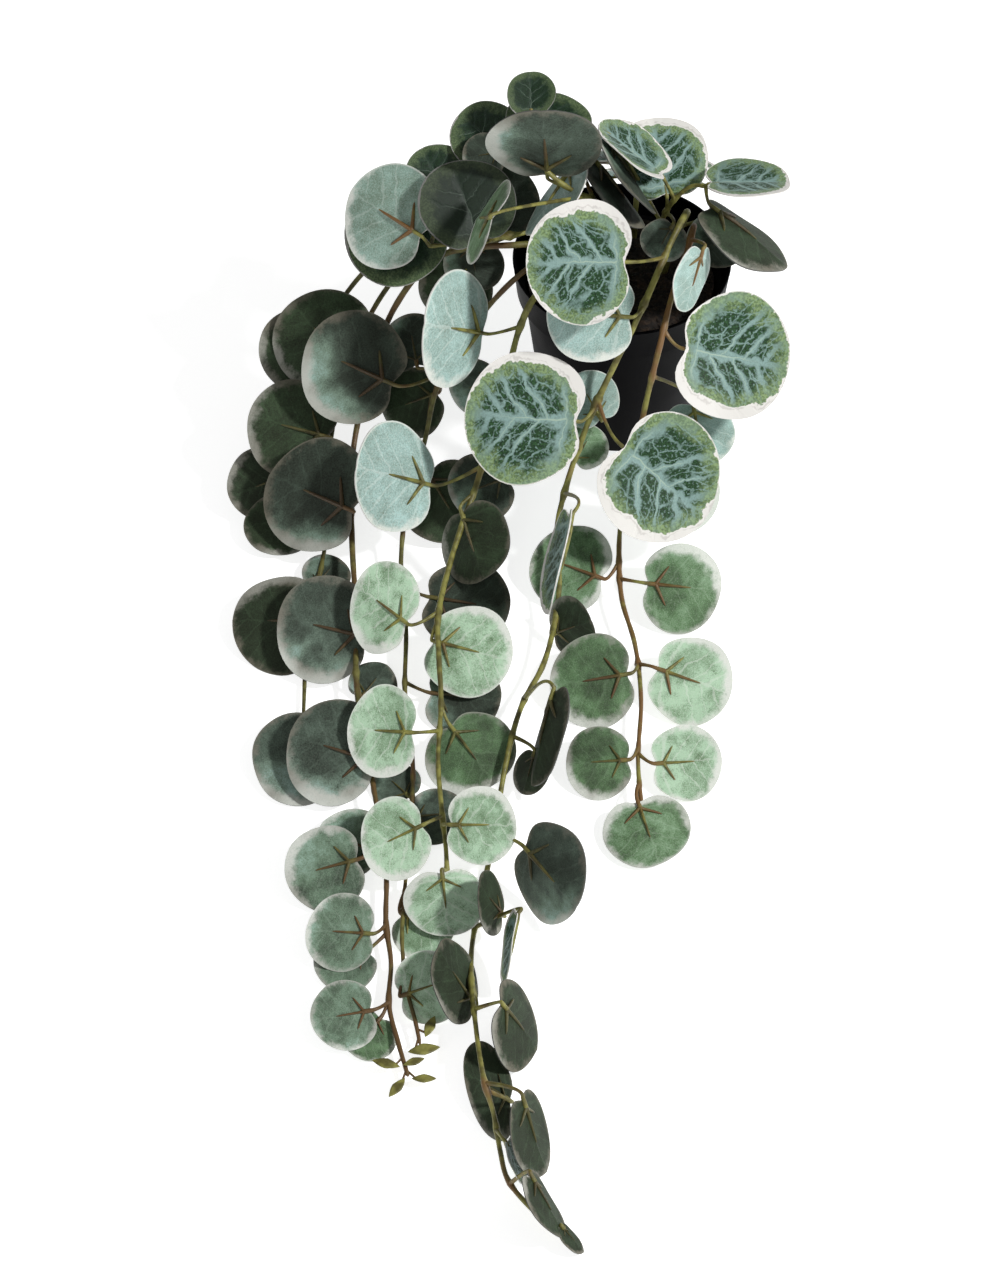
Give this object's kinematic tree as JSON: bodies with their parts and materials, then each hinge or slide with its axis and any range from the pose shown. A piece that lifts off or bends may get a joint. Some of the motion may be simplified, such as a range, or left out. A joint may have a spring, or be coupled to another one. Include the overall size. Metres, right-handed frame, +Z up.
{
  "type": "potted trailing vine",
  "caption": "Trailing vine with round heart-based leaves on thin cord-like stems that climb over the rim of a small plain pot and lie along the surface in front of it.",
  "frame": {"origin": "middle of the pot's flat foot, on the surface that the pot stands on", "axes": "+Z up through the pot's mouth; -Y towards the viewer, the way the stems trail along the surface; -X to the viewer's left, where most stems lie"},
  "size_m": [0.307, 0.6795, 0.2282],
  "materials": {
    "pot": "satin black moulded plastic",
    "soil": "loose dark potting compost",
    "leafy_stems": "printed fabric-like leaf blades, grey-green to mint below and green with silver veins and white margins above, with olive moulded stems"
  },
  "bodies": {
    "root": {"pot": "pot", "soil": "soil", "stem_long": "leafy_stems", "stem_right": "leafy_stems", "stem_front_left": "leafy_stems", "stem_middle_left": "leafy_stems", "stem_lower_left": "leafy_stems", "stem_far_left_lower": "leafy_stems", "stem_far_left_upper": "leafy_stems", "stem_mound_left": "leafy_stems", "stem_mound_top": "leafy_stems", "stem_mound_right": "leafy_stems", "stem_mound_back": "leafy_stems"}
  },
  "joints": []
}
